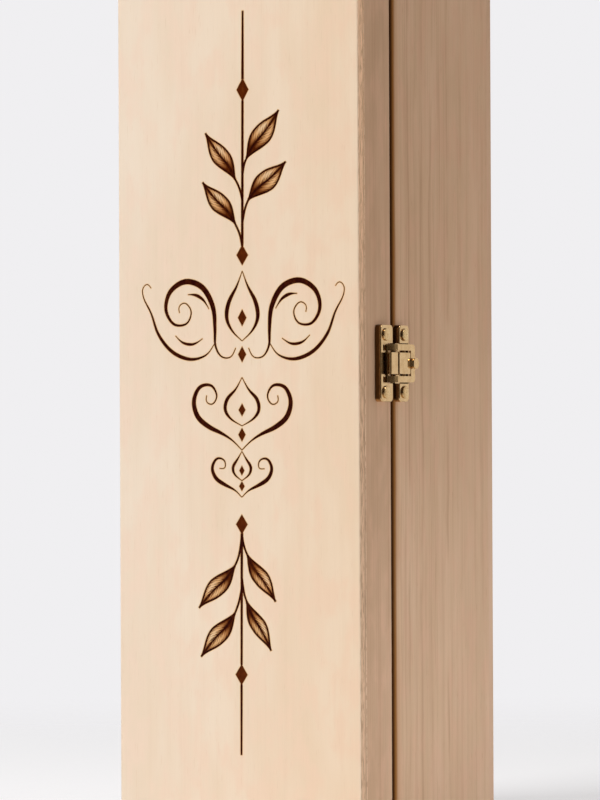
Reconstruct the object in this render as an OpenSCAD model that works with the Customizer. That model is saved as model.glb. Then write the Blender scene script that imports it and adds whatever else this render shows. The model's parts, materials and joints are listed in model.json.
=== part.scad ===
// Single-bottle wooden gift box that stands on its end.
// The lid is the front of the box and swings on two small hinges on the left side.
// A stamped draw clasp on the right side holds it shut.
// Frame: X across the width, Y from front (-) to back (+), Z up, origin in the
// middle of the standing face.

/* [Case] */
// Width across the outer faces of the sides
case_w = 110; // [90:1:150]
// Depth from the front of the lid to the back
case_d = 111; // [90:1:150]
// Height of the standing box
case_h = 355; // [260:1:420]
// Thickness of the side and end boards
board_t = 9; // [7.5:0.5:12]
// How far an end board is let into each side board
rebate_depth = 5; // [2:0.5:6]
// Thickness of the lid's front panel
front_panel_t = 5.5; // [3:0.5:8]
// Thickness of the back panel
back_panel_t = 4; // [3:0.5:8]
// Depth of the whole lid, panel and frame
lid_depth = 26.1; // [22:0.1:40]
// Gap between the lid's rim and the box's rim when shut
lid_gap = 1.8; // [1:0.1:2.2]
// How far the front panel stands past the lid's sides
panel_overhang = 0.5; // [0:0.1:1]
// Rounding of the box's outer rim
rim_round = 1.3; // [0.6:0.1:2]
// Easing of the other outer edges
arris = 0.4; // [0.2:0.1:0.8]

/* [Hinges] */
// Length of a hinge along its pin
hinge_l = 24; // [18:1:36]
// Distance from each end of the box to the middle of its hinge
hinge_inset = 60; // [40:1:90]
// Width of a hinge leaf, from its knuckles to its free edge
leaf_w = 10; // [8:0.5:13]
// Thickness of a hinge leaf
leaf_t = 0.8; // [0.6:0.1:0.9]
// Outer radius of a knuckle
knuckle_r = 1.7; // [1.4:0.1:2]
// Gap between a knuckle and the wood
knuckle_stand_off = 0.5; // [0.4:0.1:0.8]
// Radius of a hinge pin
hinge_pin_r = 0.75; // [0.5:0.05:0.85]
// Distance between the two nails of a leaf
hinge_nail_spread = 15; // [10:0.5:16]
// Radius of a hinge nail's head
hinge_nail_head_r = 1.8; // [1.2:0.1:2]
// Height of a hinge nail's domed head
hinge_nail_head_h = 0.7; // [0.4:0.1:0.8]

/* [Clasp plates] */
// Length of both clasp plates along the box
plate_l = 30.4; // [29:0.2:40]
// Height of the clasp's middle above the middle of the box
clasp_rise = 7.6; // [-40:0.1:40]
// Width of the plate on the lid
catch_w = 9.8; // [9.7:0.1:10.2]
// Width of the plate on the box
base_w = 7.9; // [7.8:0.1:12]
// Distance from the lid's rim to its clasp plate
catch_setback = 2.8; // [2.7:0.1:2.9]
// Distance from the box's rim to its clasp plate
base_setback = 0.5; // [0.4:0.1:0.8]
// Width of the lid plate's strip in front of the hook
front_strip = 1.65; // [1:0.05:1.7]
// How far the lid plate's nails sit in front of its middle
catch_nail_shift = 1; // [0:0.1:1.2]
// Height of the pressed plates above the wood
tray_h = 2.7; // [2:0.1:3.2]
// Thickness of the pressed sheet
sheet_t = 0.7; // [0.6:0.05:0.75]
// Corner radius of the plates
plate_corner = 1.8; // [0.5:0.1:2.5]
// Distance between the two nails of a clasp plate
clasp_nail_spread = 22.7; // [22.4:0.1:24]
// Radius of a clasp nail's head
clasp_nail_head_r = 2.5; // [1.6:0.1:2.7]
// Height of a clasp nail's domed head
clasp_nail_head_h = 0.9; // [0.5:0.1:1.4]

/* [Clasp lever, loop and hook] */
// Height of the tops of the hook, the lever and the loop above the wood
link_top = 5.7; // [5.6:0.1:6.2]
// Height of the lever's pivot above the wood
lever_pivot_h = 3.2; // [3.1:0.1:3.4]
// Distance of the lever's pivot behind the middle of the gap, negative towards the lid
lever_pivot_s = -1; // [-1.05:0.05:-0.9]
// Distance from the lever's pivot back to the loop's pivot
crank = 5.6; // [5.5:0.05:5.65]
// How far the loop's pivot lies below the lever's when shut
over_centre = 0.3; // [0.1:0.1:0.5]
// How far the lever's front end reaches past its pivot
lever_heel = 2.8; // [2:0.1:2.9]
// Width of the lever's tongue
lever_w = 8.4; // [8:0.1:8.8]
// Radius of the round finger lip at the lever's end
lip_r = 2.15; // [1.6:0.05:2.3]
// Distance from the tongue's end to the middle of the finger lip
lip_reach = 2.3; // [1.8:0.1:2.6]
// Width of the neck that carries the finger lip
neck_w = 2.6; // [2:0.1:3.2]
// Gap between the finger lip and the loop below it
lip_rise = 0.75; // [0.4:0.05:1]
// Radius of the clasp's two pivot pins
clasp_pin_r = 0.65; // [0.4:0.05:0.7]
// Outer width of the loop
loop_w = 15.1; // [15:0.1:15.6]
// Width of one arm of the loop
arm_w = 2.5; // [2:0.1:2.6]
// Width of the loop's back bar
back_bar_w = 3.25; // [2.4:0.05:4]
// Distance from the loop's pivot to its front bar
draw_l = 12; // [11.9:0.05:12.05]
// Height of the loop's front bar above the wood
bar_h = 2.1; // [1.95:0.05:2.15]
// Radius of the loop's front bar
bar_r = 0.75; // [0.5:0.05:0.8]
// Distance the hook's lip reaches forward over the front bar
hook_reach = 3.35; // [2.8:0.05:3.4]
// Width of the hook
hook_w = 8.6; // [6:0.1:9]

/* [Fits] */
// Radial clearance of a pin in its bore
pin_fit = 0.05; // [0.02:0.01:0.1]
// Gap between neighbouring knuckles and between sliding faces
side_fit = 0.15; // [0.1:0.05:0.2]
// Gap between parts of the clasp that pass each other
pass_gap = 0.4; // [0.3:0.05:0.5]

/* [Hidden] */
$fn = 64;
eps = 0.01;
// How far a cutting shape reaches past what it cuts
over = 1;

// Planes of the case, front to back
front_y = -case_d / 2;
back_y = case_d / 2;
panel_back_y = front_y + front_panel_t;
lid_rim_y = front_y + lid_depth;
box_rim_y = lid_rim_y + lid_gap;
split_y = (lid_rim_y + box_rim_y) / 2;
back_panel_y = back_y - back_panel_t;
side_x = case_w / 2;
inner_x = side_x - board_t;
end_x = inner_x + rebate_depth;

// Nails: shank radius, and depth in the wood
hinge_nail_r = 0.6;
hinge_nail_depth = 6.5;
clasp_nail_r = 0.75;
clasp_nail_depth = 6.5;
nail_fit = 0.02;
nail_room = 0.2;

// Hinge
hinge_axis_x = -side_x - knuckle_r - knuckle_stand_off;
leaf_gap = 0.5;
leaf_corner = 0.6;
leaf_tab = 1;
hinge_clear = knuckle_r + leaf_gap;
leaf_hole_s = (hinge_clear + leaf_w + leaf_tab) / 2;
pin_head_h = 0.5;
pin_head_inset = 0.4;
pin_head_r = knuckle_r - pin_head_inset;
hinge_zs = [hinge_inset, case_h - hinge_inset];

// Clasp, in its own directions: s runs back from the middle of the gap,
// h rises from the wood, z is up from the clasp's middle
clasp_z = case_h / 2 + clasp_rise;
catch_s1 = -lid_gap / 2 - catch_setback;
catch_s0 = catch_s1 - catch_w;
catch_nail_s = (catch_s0 + catch_s1) / 2 - catch_nail_shift;
base_s0 = lid_gap / 2 + base_setback;
base_s1 = base_s0 + base_w;
base_nail_s = (base_s0 + base_s1) / 2;
recess_w = loop_w + 2 * pass_gap;
floor_cut = 1;

// Pivots, the front bar and the lever's ends
loop_pivot_s = lever_pivot_s + crank;
loop_pivot_h = lever_pivot_h - over_centre;
bar_s = loop_pivot_s - draw_l;
eye_wall = 0.65;
eye_r = clasp_pin_r + eye_wall;
pivot_head_rim = 0.25;
pivot_head_h = 0.3;
tongue_overrun = 0.3;
tongue_corner = 0.6;
tongue_end_s = loop_pivot_s + tongue_overrun;
lever_t = 0.7;
flange_t = 0.8;
flange_in = lever_w / 2 - flange_t;
neck_inset = 0.5;
neck_s = tongue_end_s - neck_inset;
lip_s = tongue_end_s + lip_reach;
lip_h = link_top + lip_rise;
ear_t = 0.8;
ear_out = flange_in - side_fit;
ear_foot_inset = 0.2;
ear_lean = [0.6, 0.8];

// Loop and hook
loop_t = 0.9;
loop_corner = 1.5;
lug_t = 0.8;
lug_in = loop_w / 2 - arm_w;
loop_slack = 0.5;
loop_inner_s = tongue_end_s + loop_slack;
loop_back_s = loop_inner_s + back_bar_w;
arm_bend_r = 3.2;
arm_front_s = bar_s - loop_t / 2;
riser_s = bar_s + bar_r + side_fit;
hook_back = 0.7;
hook_end_s = riser_s + sheet_t + hook_back;
lip_tip_s = bar_s - hook_reach;
curl_r = 0.8;

wood_light = [0.90, 0.80, 0.68];
wood_warm = [0.76, 0.63, 0.49];
brass_tone = [0.80, 0.66, 0.38];

// Helpers

// A block between two opposite corners
module block(low, high) {
    translate(low) cube(high - low);
}

// A rectangle with its corners cut by c
module cut_rectangle(low, high, c) {
    polygon([
        [low[0] + c, low[1]], [high[0] - c, low[1]], [high[0], low[1] + c], [high[0], high[1] - c],
        [high[0] - c, high[1]], [low[0] + c, high[1]], [low[0], high[1] - c], [low[0], low[1] + c]
    ]);
}

// A block whose twelve edges are eased by c
module eased_block(low, high, c) {
    intersection() {
        translate([0, 0, low[2]]) linear_extrude(high[2] - low[2])
            cut_rectangle([low[0], low[1]], [high[0], high[1]], c);
        translate([low[0], 0, 0]) rotate([90, 0, 90]) linear_extrude(high[0] - low[0])
            cut_rectangle([low[1], low[2]], [high[1], high[2]], c);
        translate([0, high[1], 0]) rotate([90, 0, 0]) linear_extrude(high[1] - low[1])
            cut_rectangle([low[0], low[2]], [high[0], high[2]], c);
    }
}

// What a rounding of radius r takes off a corner that points along +x and +y
module corner_waste(r) {
    difference() {
        translate([-r, -r]) square(r + over);
        translate([-r, -r]) circle(r);
    }
}

// What is taken off the four outer edges of a rim at depth y; back is 1 where the
// rim faces the back and -1 where it faces the front
module rim_waste(y, back, r) {
    for (side = [-1, 1]) {
        translate([side * side_x, y, -over]) linear_extrude(case_h + 2 * over)
            facing(side, back) corner_waste(r);
    }
    for (top = [0, 1]) {
        translate([-side_x - over, y, top * case_h]) rotate([90, 0, 90])
            linear_extrude(case_w + 2 * over)
            facing(back, 2 * top - 1) corner_waste(r);
    }
}

// Mirrors a flat shape so that it points along the signs of a and b
module facing(a, b) {
    mirror([a < 0 ? 1 : 0, 0]) mirror([0, b < 0 ? 1 : 0]) children();
}

// A rounded rectangle between two opposite corners
module soft_rectangle(low, high, r) {
    difference() {
        translate(low) square(high - low);
        for (a = [0, 1], b = [0, 1]) {
            translate([a ? high[0] : low[0], b ? high[1] : low[1]])
                facing(2 * a - 1, 2 * b - 1) corner_waste(r);
        }
    }
}

// A quarter of a ring of thickness t: the part in front of its centre and above it
module quarter_bend(s, h, r, t) {
    intersection() {
        difference() {
            translate([s, h]) circle(r);
            translate([s, h]) circle(r - t);
        }
        translate([s - r, h]) square([r + eps, r]);
    }
}

// Places children drawn in the clasp's own directions (s, h, z) on the right side
module on_clasp() {
    translate([side_x, split_y, clasp_z]) mirror([1, -1, 0]) children();
}

// A profile drawn in s and h, spread across z
module across(z0, z1) {
    translate([0, 0, z0]) linear_extrude(z1 - z0) children();
}

// The same profile on both sides of the clasp's middle
module both_sides(z0, z1) {
    across(z0, z1) children();
    across(-z1, -z0) children();
}

// A round rod along z, drawn in the clasp's directions
module cross_pin(s, h, r, half_l) {
    translate([s, h, -half_l]) cylinder(r = r, h = 2 * half_l);
}

// A nail that points along -y, with a domed head that sits at y = 0
module nail(shank_r, depth, head_r, head_h) {
    dome_r = (head_r * head_r + head_h * head_h) / (2 * head_h);
    rotate([-90, 0, 0]) rotate_extrude() intersection() {
        translate([0, head_h - dome_r]) circle(dome_r);
        square([head_r, head_h]);
    }
    rotate([90, 0, 0]) cylinder(r = shank_r, h = depth);
}

// Case

// The outer shape of the box behind the rim
module box_envelope() {
    difference() {
        eased_block([-side_x, box_rim_y, 0], [side_x, back_y, case_h], arris);
        rim_waste(box_rim_y, -1, rim_round);
    }
}

// The outer shape of the lid's frame
module lid_envelope() {
    difference() {
        block([-side_x, panel_back_y, 0], [side_x, lid_rim_y, case_h]);
        rim_waste(lid_rim_y, 1, arris);
    }
}

// A side board between two depths, with a rebate at each end; side is -1 or 1
module side_board(side, y0, y1) {
    difference() {
        block([side > 0 ? inner_x : -side_x, y0, 0], [side > 0 ? side_x : -inner_x, y1, case_h]);
        for (z = [-over, case_h - board_t]) {
            block([side > 0 ? inner_x - over : -end_x, y0 - over, z],
                  [side > 0 ? end_x : -inner_x + over, y1 + over, z + board_t + over]);
        }
    }
}

// An end board between two depths, at the foot or the top
module end_board(y0, y1, top) {
    z = top * (case_h - board_t);
    block([-end_x, y0, z], [end_x, y1, z + board_t]);
}

module hinge_nail_holes(side_of_gap) {
    for (z = hinge_zs, dz = [-1, 1]) {
        translate([-side_x - over, hinge_nail_y(side_of_gap), z + dz * hinge_nail_spread / 2])
            rotate([0, 90, 0])
                cylinder(r = hinge_nail_r + nail_fit, h = hinge_nail_depth + nail_room + over);
    }
}

function hinge_nail_y(side_of_gap) = split_y + side_of_gap * leaf_hole_s;

module clasp_nail_holes(s) {
    on_clasp() for (dz = [-1, 1]) {
        translate([s, over, dz * clasp_nail_spread / 2])
            rotate([90, 0, 0])
                cylinder(r = clasp_nail_r + nail_fit, h = clasp_nail_depth + nail_room + over);
    }
}

module box_left_side() color(wood_warm) {
    difference() {
        intersection() {
            side_board(-1, box_rim_y, back_panel_y);
            box_envelope();
        }
        hinge_nail_holes(1);
    }
}

module box_right_side() color(wood_warm) {
    difference() {
        intersection() {
            side_board(1, box_rim_y, back_panel_y);
            box_envelope();
        }
        clasp_nail_holes(base_nail_s);
    }
}

module box_top_end() color(wood_warm) {
    intersection() {
        end_board(box_rim_y, back_panel_y, 1);
        box_envelope();
    }
}

module box_bottom_end() color(wood_warm) {
    intersection() {
        end_board(box_rim_y, back_panel_y, 0);
        box_envelope();
    }
}

module box_back_panel() color(wood_light) {
    intersection() {
        block([-side_x, back_panel_y, 0], [side_x, back_y, case_h]);
        box_envelope();
    }
}

module lid_left_side() color(wood_warm) {
    difference() {
        intersection() {
            side_board(-1, panel_back_y, lid_rim_y);
            lid_envelope();
        }
        hinge_nail_holes(-1);
    }
}

module lid_right_side() color(wood_warm) {
    difference() {
        intersection() {
            side_board(1, panel_back_y, lid_rim_y);
            lid_envelope();
        }
        clasp_nail_holes(catch_nail_s);
    }
}

module lid_top_end() color(wood_warm) {
    intersection() {
        end_board(panel_back_y, lid_rim_y, 1);
        lid_envelope();
    }
}

module lid_bottom_end() color(wood_warm) {
    intersection() {
        end_board(panel_back_y, lid_rim_y, 0);
        lid_envelope();
    }
}

module lid_front_panel() color(wood_light) {
    eased_block([-side_x - panel_overhang, front_y, 0],
                [side_x + panel_overhang, panel_back_y, case_h], arris);
}

// Hinges

// One leaf of the hinge whose middle is at height z0; side_of_gap is 1 on the box
// and -1 on the lid, and the box's leaf has the two outer knuckles
module hinge_leaf(z0, side_of_gap) color(brass_tone) {
    third = hinge_l / 3;
    outer = side_of_gap > 0;
    spans = outer ? [[0, third - side_fit / 2], [2 * third + side_fit / 2, hinge_l]]
                  : [[third + side_fit / 2, 2 * third - side_fit / 2]];
    plate_y0 = min(side_of_gap * hinge_clear, side_of_gap * (hinge_clear + leaf_w - knuckle_r));
    plate_y1 = max(side_of_gap * hinge_clear, side_of_gap * (hinge_clear + leaf_w - knuckle_r));
    translate([0, split_y, z0 - hinge_l / 2]) difference() {
        union() {
            translate([-side_x, 0, 0]) rotate([0, -90, 0]) linear_extrude(leaf_t)
                soft_rectangle([0, plate_y0], [hinge_l, plate_y1], leaf_corner);
            for (span = spans) {
                block([-side_x - leaf_t, min(0, side_of_gap * (hinge_clear + leaf_tab)), span[0]],
                      [-side_x, max(0, side_of_gap * (hinge_clear + leaf_tab)), span[1]]);
                translate([hinge_axis_x, 0, span[0]]) cylinder(r = knuckle_r, h = span[1] - span[0]);
            }
        }
        translate([hinge_axis_x, 0, -over])
            cylinder(r = hinge_pin_r + pin_fit, h = hinge_l + 2 * over);
        for (dz = [-1, 1]) {
            translate([-side_x - leaf_t - over, side_of_gap * leaf_hole_s,
                       (hinge_l + dz * hinge_nail_spread) / 2])
                rotate([0, 90, 0]) cylinder(r = hinge_nail_r + nail_fit, h = leaf_t + 2 * over);
        }
    }
}

// A pin with a small head peened over each end
module hinge_pin(z0) color(brass_tone) {
    translate([hinge_axis_x, split_y, z0 - hinge_l / 2]) {
        translate([0, 0, -pin_head_h]) cylinder(r = hinge_pin_r, h = hinge_l + 2 * pin_head_h);
        translate([0, 0, -pin_head_h]) cylinder(r = pin_head_r, h = pin_head_h);
        translate([0, 0, hinge_l]) cylinder(r = pin_head_r, h = pin_head_h);
    }
}

// The two nails of one leaf
module hinge_nails(z0, side_of_gap) color(brass_tone) {
    for (dz = [-1, 1]) {
        translate([-side_x - leaf_t, hinge_nail_y(side_of_gap), z0 + dz * hinge_nail_spread / 2])
            rotate([0, 0, 90])
                nail(hinge_nail_r, hinge_nail_depth + leaf_t, hinge_nail_head_r, hinge_nail_head_h);
    }
}

module upper_hinge_box_leaf() hinge_leaf(hinge_zs[1], 1);
module lower_hinge_box_leaf() hinge_leaf(hinge_zs[0], 1);
module upper_hinge_lid_leaf() hinge_leaf(hinge_zs[1], -1);
module lower_hinge_lid_leaf() hinge_leaf(hinge_zs[0], -1);
module upper_hinge_pin() hinge_pin(hinge_zs[1]);
module lower_hinge_pin() hinge_pin(hinge_zs[0]);
module upper_hinge_box_nails() hinge_nails(hinge_zs[1], 1);
module lower_hinge_box_nails() hinge_nails(hinge_zs[0], 1);
module upper_hinge_lid_nails() hinge_nails(hinge_zs[1], -1);
module lower_hinge_lid_nails() hinge_nails(hinge_zs[0], -1);

// Clasp

// A pressed plate between two places along s: two hollow pads joined by a low floor,
// which leaves room between them for the loop and ends at floor_s1
module pressed_plate(s0, s1, nail_s, floor_s1) {
    half = plate_l / 2;
    difference() {
        plate_outline(s0, s1, half, plate_corner, 0, tray_h);
        plate_outline(s0 + sheet_t, s1 - sheet_t, half - sheet_t, plate_corner - sheet_t / 2, -over,
                      tray_h - sheet_t);
        block([s0 - over, sheet_t, -recess_w / 2], [s1 + over, tray_h + over, recess_w / 2]);
        if (floor_s1 < s1) {
            block([floor_s1, -over, -recess_w / 2], [s1 + over, tray_h + over, recess_w / 2]);
        }
        for (dz = [-1, 1]) {
            translate([nail_s, tray_h + over, dz * clasp_nail_spread / 2])
                rotate([90, 0, 0]) cylinder(r = clasp_nail_r + nail_fit, h = tray_h + 2 * over);
        }
    }
    block([s0 + sheet_t / 2, 0, -recess_w / 2 - sheet_t],
          [min(floor_s1, s1 - sheet_t / 2), sheet_t, recess_w / 2 + sheet_t]);
    for (side = [-1, 1]) {
        z0 = side > 0 ? recess_w / 2 : -recess_w / 2 - sheet_t;
        block([s0 + sheet_t / 2, 0, z0], [s1 - sheet_t / 2, tray_h - sheet_t / 2, z0 + sheet_t]);
    }
}

// A raised end of a plate, which runs on across the recess
module cross_wall(s0, s1) {
    block([s0, 0, -recess_w / 2 - sheet_t], [s1, tray_h, recess_w / 2 + sheet_t]);
}

// A rounded slab lying on the wood, from height h0 to h1
module plate_outline(s0, s1, half, r, h0, h1) {
    translate([0, h1, 0]) rotate([90, 0, 0]) linear_extrude(h1 - h0)
        soft_rectangle([s0, -half], [s1, half], r);
}

// The hook that the loop's front bar pulls on: a riser, and a flat top that reaches
// forward over the bar to a rounded edge
module hook_profile() {
    under = link_top - sheet_t;
    translate([riser_s, 0]) square([sheet_t, link_top - eps]);
    translate([lip_tip_s + curl_r, under]) square([hook_end_s - lip_tip_s - curl_r, sheet_t]);
    quarter_bend(lip_tip_s + curl_r, link_top - curl_r, curl_r, sheet_t);
}

module latch_catch_plate() color(brass_tone) on_clasp() {
    pressed_plate(catch_s0, catch_s1, catch_nail_s, catch_s1 - floor_cut);
    cross_wall(catch_s0, catch_s0 + front_strip);
    across(-hook_w / 2, hook_w / 2) hook_profile();
}

module latch_base_plate() color(brass_tone) on_clasp() {
    pressed_plate(base_s0, base_s1, base_nail_s, base_s1);
    cross_wall(base_s1 - sheet_t, base_s1);
    difference() {
        both_sides(ear_out - ear_t, ear_out) ear_profile();
        cross_pin(lever_pivot_s, lever_pivot_h, clasp_pin_r + pin_fit, lever_w);
    }
}

// An ear that carries the lever's pin, leaning forward from the base plate's floor
module ear_profile() {
    foot_s0 = base_s0 + ear_foot_inset;
    foot_s1 = loop_pivot_s - clasp_pin_r - pass_gap;
    translate([lever_pivot_s, lever_pivot_h]) circle(eye_r);
    polygon([
        [foot_s0, 0], [foot_s1, 0], [foot_s1, sheet_t],
        [lever_pivot_s + ear_lean[0] * eye_r, lever_pivot_h + ear_lean[1] * eye_r],
        [lever_pivot_s - ear_lean[0] * eye_r, lever_pivot_h - ear_lean[1] * eye_r]
    ]);
}

// The lever: a flat tongue over the pivot with two flanges under its edges, and a
// round lip on a neck that passes over the loop's back bar
module latch_lever() color(brass_tone) on_clasp() {
    under = link_top - lever_t;
    heel_s = lever_pivot_s - lever_heel;
    plate_outline(heel_s, tongue_end_s, lever_w / 2, tongue_corner, under, link_top);
    across(-neck_w / 2, neck_w / 2) translate([neck_s, under])
        square([lever_t, lip_h + lever_t - under]);
    translate([0, lip_h + lever_t, 0]) rotate([90, 0, 0]) linear_extrude(lever_t) {
        translate([neck_s, -neck_w / 2]) square([lip_s - neck_s, neck_w]);
        translate([lip_s, 0]) circle(lip_r);
    }
    difference() {
        both_sides(flange_in, lever_w / 2) flange_profile();
        cross_pin(lever_pivot_s, lever_pivot_h, clasp_pin_r + pin_fit, lever_w);
        cross_pin(loop_pivot_s, loop_pivot_h, clasp_pin_r + pin_fit, lever_w);
    }
}

// A flange of the lever, round both pivots and up to the tongue
module flange_profile() {
    translate([lever_pivot_s, lever_pivot_h]) circle(eye_r);
    translate([loop_pivot_s, loop_pivot_h]) circle(eye_r);
    polygon([
        [lever_pivot_s, lever_pivot_h - eye_r], [loop_pivot_s, loop_pivot_h - eye_r],
        [loop_pivot_s + eye_r, loop_pivot_h], [tongue_end_s, link_top - lever_t / 2],
        [lever_pivot_s - eye_r, link_top - lever_t / 2], [lever_pivot_s - eye_r, lever_pivot_h]
    ]);
}

// A pin along z with a small head at each end
module pivot_pin(s, h, half) {
    cross_pin(s, h, clasp_pin_r, half);
    for (z = [-half - pivot_head_h, half]) {
        translate([s, h, z]) cylinder(r = clasp_pin_r + pivot_head_rim, h = pivot_head_h);
    }
}

module latch_lever_pin() color(brass_tone) on_clasp()
    pivot_pin(lever_pivot_s, lever_pivot_h, lever_w / 2 + side_fit);

module latch_loop_pin() color(brass_tone) on_clasp()
    pivot_pin(loop_pivot_s, loop_pivot_h, lug_in + lug_t + side_fit);

// One arm of the loop seen from its end: level beside the lever, then bent down to
// the front bar
module arm_profile() {
    bend_s = arm_front_s + arm_bend_r;
    bend_h = link_top - arm_bend_r;
    translate([bend_s, link_top - loop_t])
        square([loop_back_s - back_bar_w / 2 - bend_s, loop_t]);
    quarter_bend(bend_s, bend_h, arm_bend_r, loop_t);
    translate([arm_front_s, bar_h]) square([loop_t, bend_h + eps - bar_h]);
}

module latch_loop() color(brass_tone) on_clasp() {
    both_sides(lug_in, loop_w / 2) arm_profile();
    cross_pin(bar_s, bar_h, bar_r, loop_w / 2);
    difference() {
        plate_outline(loop_inner_s, loop_back_s, loop_w / 2, loop_corner, link_top - loop_t, link_top);
        block([loop_inner_s - over, 0, -lug_in + eps],
              [loop_inner_s, link_top + over, lug_in - eps]);
    }
    both_sides(lug_in, loop_w / 2) translate([loop_inner_s - over, link_top - loop_t])
        square([back_bar_w - loop_corner + over, loop_t]);
    difference() {
        both_sides(lug_in, lug_in + lug_t) {
            translate([loop_pivot_s, loop_pivot_h]) circle(eye_r);
            translate([loop_pivot_s - eye_r, loop_pivot_h])
                square([2 * eye_r, link_top - loop_t / 2 - loop_pivot_h]);
        }
        cross_pin(loop_pivot_s, loop_pivot_h, clasp_pin_r + pin_fit, loop_w);
    }
}

// The two nails of a clasp plate
module clasp_nails(s) {
    on_clasp() for (dz = [-1, 1]) {
        translate([s, tray_h, dz * clasp_nail_spread / 2])
            nail(clasp_nail_r, clasp_nail_depth + tray_h, clasp_nail_head_r, clasp_nail_head_h);
    }
}

module latch_catch_nails() color(brass_tone) clasp_nails(catch_nail_s);
module latch_base_nails() color(brass_tone) clasp_nails(base_nail_s);

box_left_side();
box_right_side();
box_top_end();
box_bottom_end();
box_back_panel();
lid_left_side();
lid_right_side();
lid_top_end();
lid_bottom_end();
lid_front_panel();
upper_hinge_box_leaf();
lower_hinge_box_leaf();
upper_hinge_lid_leaf();
lower_hinge_lid_leaf();
upper_hinge_pin();
lower_hinge_pin();
upper_hinge_box_nails();
lower_hinge_box_nails();
upper_hinge_lid_nails();
lower_hinge_lid_nails();
latch_catch_plate();
latch_catch_nails();
latch_base_plate();
latch_base_nails();
latch_lever_pin();
latch_lever();
latch_loop_pin();
latch_loop();
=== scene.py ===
"""Looks of the wooden box for one bottle: camera, light, wood, brass and the engraved lid."""

import json
import math

import bmesh
import bpy
from mathutils import Matrix, Vector, geometry, kdtree


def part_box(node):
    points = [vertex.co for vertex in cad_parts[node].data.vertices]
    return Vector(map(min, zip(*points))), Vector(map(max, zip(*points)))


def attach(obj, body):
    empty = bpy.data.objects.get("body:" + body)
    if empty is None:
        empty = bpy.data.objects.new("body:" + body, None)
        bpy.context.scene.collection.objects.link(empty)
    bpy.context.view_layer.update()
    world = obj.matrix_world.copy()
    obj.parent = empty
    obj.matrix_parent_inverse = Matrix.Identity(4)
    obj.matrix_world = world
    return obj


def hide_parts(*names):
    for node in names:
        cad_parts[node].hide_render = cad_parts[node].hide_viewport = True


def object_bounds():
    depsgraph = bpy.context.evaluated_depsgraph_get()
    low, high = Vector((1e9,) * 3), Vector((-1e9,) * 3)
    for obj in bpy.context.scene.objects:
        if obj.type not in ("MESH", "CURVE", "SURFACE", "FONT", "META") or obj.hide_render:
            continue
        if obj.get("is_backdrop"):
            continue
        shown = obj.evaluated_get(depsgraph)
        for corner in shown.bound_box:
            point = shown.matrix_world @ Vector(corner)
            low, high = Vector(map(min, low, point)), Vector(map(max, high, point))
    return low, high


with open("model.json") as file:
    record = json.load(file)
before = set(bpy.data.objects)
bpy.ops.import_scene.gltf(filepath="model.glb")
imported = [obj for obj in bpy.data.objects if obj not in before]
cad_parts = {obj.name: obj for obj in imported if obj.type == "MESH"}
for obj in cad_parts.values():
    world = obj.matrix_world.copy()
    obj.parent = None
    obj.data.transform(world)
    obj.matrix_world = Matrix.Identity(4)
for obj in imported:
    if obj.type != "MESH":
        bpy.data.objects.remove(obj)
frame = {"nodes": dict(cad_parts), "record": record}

MM = 0.001
PER_METRE = 1.0 / MM
FIRST_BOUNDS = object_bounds()
RECORD = frame["record"]
BODY_OF = {node: body for body, nodes in RECORD["behaviour"]["bodies"].items() for node in nodes}

# Places read from the solids, in millimetres
BOX_RIM_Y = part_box("box_right_side")[0][1] / MM
CASE_SIDE_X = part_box("box_right_side")[1][0] / MM
HALF_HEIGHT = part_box("box_right_side")[1][2] / MM / 2
PANEL_FRONT_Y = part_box("lid_front_panel")[0][1] / MM
PANEL_BACK_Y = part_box("lid_front_panel")[1][1] / MM

# Camera, in metres and degrees
CAMERA_AZIMUTH = 30.313
CAMERA_DISTANCE = 2.0
CAMERA_HEIGHT = 0.16045
CAMERA_YAW = 0.0952
CAMERA_PITCH = 0.305
CAMERA_ROLL = -0.244
CAMERA_LENS = 221.77
SENSOR = 36.0

# Light and stage
BACKDROP = (0.871, 0.863, 0.879, 1.0)
ROOM_DARK = (0.042, 0.028, 0.016, 1.0)
ROOM_SIDES = (0.20, 0.18, 0.16, 1.0)
ROOM_BRIGHT = (0.77, 0.745, 0.715, 1.0)
ROOM_DIM = (0.0128, 0.0096, 0.0072, 1.0)
FLOOR_RADIUS = 1.6
FLOOR_FADE_START = 0.30
FLOOR_FADE_END = 0.95
FLOOR_TONE = (0.86, 0.86, 0.87, 1.0)
FLOOR_CLOUD = (0.80, 0.80, 0.80, 1.0)
FLOOR_BOUNCE = (0.76, 0.75, 0.74, 1.0)
FLOOR_GLOW = (0.492, 0.488, 0.497, 1.0)
FLOOR_SHADOW_SHARE = 0.57
BOX_MIDDLE = (0.0, 0.0, 0.16)
WHITE = (1.0, 1.0, 1.0)

# How far the wood's pattern is moved from one board to the next, in millimetres
BOARD_SHIFT = (37.0, 53.0, 91.0)

# The engraving's axis on the lid, in millimetres and degrees
AXIS_X = 2.15
AXIS_Z = 177.75
AXIS_TILT = 0.379

# The clasp's finger lip: its height and thickness over the lever's tongue, and how far it leans back
LIP_HEIGHT = 1.45 * MM
NECK_THICKNESS = 0.9 * MM
NECK_LEAN = 0.85 * MM

# The nails: which way along x they face, the height of their heads and the radius of their shanks
CLASP_NAIL = {"outward": 1, "head": 0.9 * MM, "shank": 0.75 * MM}
HINGE_NAIL = {"outward": -1, "head": 0.7 * MM, "shank": 0.6 * MM}

# How far edges are rounded
BOARD_EDGE = 0.10 * MM
PANEL_EDGE = 0.12 * MM
PLATE_EDGE = 0.14 * MM
PLATE_RIM = 0.45 * MM
LEVER_EDGE = 0.22 * MM
CLASP_PIN_EDGE = 0.06 * MM
HINGE_EDGE = 0.10 * MM
HINGE_PIN_EDGE = 0.12 * MM

# Corners of a solid that are closer than this are one
WELD = 0.002 * MM

# The engraving's triangulation: the kind of result that keeps all triangles, and how close two
# points are taken as one, in millimetres
ALL_TRIANGLES = 0
SAME_POINT = 0.0005

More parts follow.
